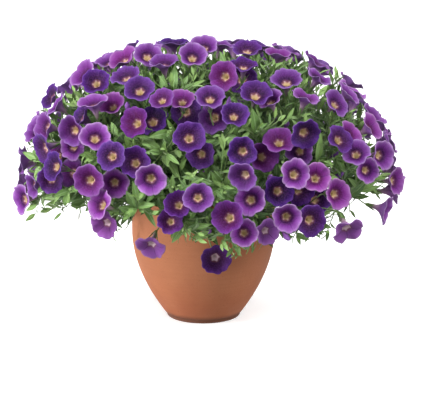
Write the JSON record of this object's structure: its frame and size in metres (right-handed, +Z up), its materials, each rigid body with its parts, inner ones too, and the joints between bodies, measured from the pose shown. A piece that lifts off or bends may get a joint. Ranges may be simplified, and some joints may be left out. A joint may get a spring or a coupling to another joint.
{
  "type": "potted calibrachoa",
  "caption": "Calibrachoa in full flower, a broad dome of violet funnel flowers and small leaves on thin stems, growing in a round-bellied clay pot.",
  "frame": {"origin": "middle of the pot's flat underside", "axes": "+Z up along the pot's axis, -Y towards the side that the picture shows"},
  "size_m": [0.3225, 0.2979, 0.2386],
  "materials": {
    "clay": "matte terracotta",
    "earth": "loose dark potting soil",
    "petals": "soft violet petals",
    "foliage": "soft green leaves and stems"
  },
  "bodies": {
    "root": {"pot": "clay", "soil": "earth", "flowering_shoot_01": "petals", "flowering_shoot_02": "petals", "flowering_shoot_03": "petals", "flowering_shoot_04": "petals", "flowering_shoot_05": "petals", "flowering_shoot_06": "petals", "flowering_shoot_07": "petals", "flowering_shoot_08": "petals", "flowering_shoot_09": "petals", "flowering_shoot_10": "petals", "flowering_shoot_11": "petals", "flowering_shoot_12": "petals", "flowering_shoot_13": "petals", "flowering_shoot_14": "petals", "flowering_shoot_15": "petals", "flowering_shoot_16": "petals", "flowering_shoot_17": "petals", "flowering_shoot_18": "petals", "flowering_shoot_19": "petals", "flowering_shoot_20": "petals", "flowering_shoot_21": "petals", "flowering_shoot_22": "petals", "flowering_shoot_23": "petals", "flowering_shoot_24": "petals", "flowering_shoot_25": "petals", "flowering_shoot_26": "petals", "flowering_shoot_27": "petals", "flowering_shoot_28": "petals", "flowering_shoot_29": "petals", "flowering_shoot_30": "petals", "leafy_shoot_01": "foliage", "leafy_shoot_02": "foliage", "leafy_shoot_03": "foliage", "leafy_shoot_04": "foliage", "leafy_shoot_05": "foliage", "leafy_shoot_06": "foliage", "leafy_shoot_07": "foliage", "leafy_shoot_08": "foliage", "leafy_shoot_09": "foliage", "leafy_shoot_10": "foliage", "leafy_shoot_11": "foliage", "leafy_shoot_12": "foliage", "leafy_shoot_13": "foliage", "leafy_shoot_14": "foliage", "leafy_shoot_15": "foliage", "leafy_shoot_16": "foliage", "leafy_shoot_17": "foliage", "leafy_shoot_18": "foliage", "leafy_shoot_19": "foliage"}
  },
  "joints": []
}
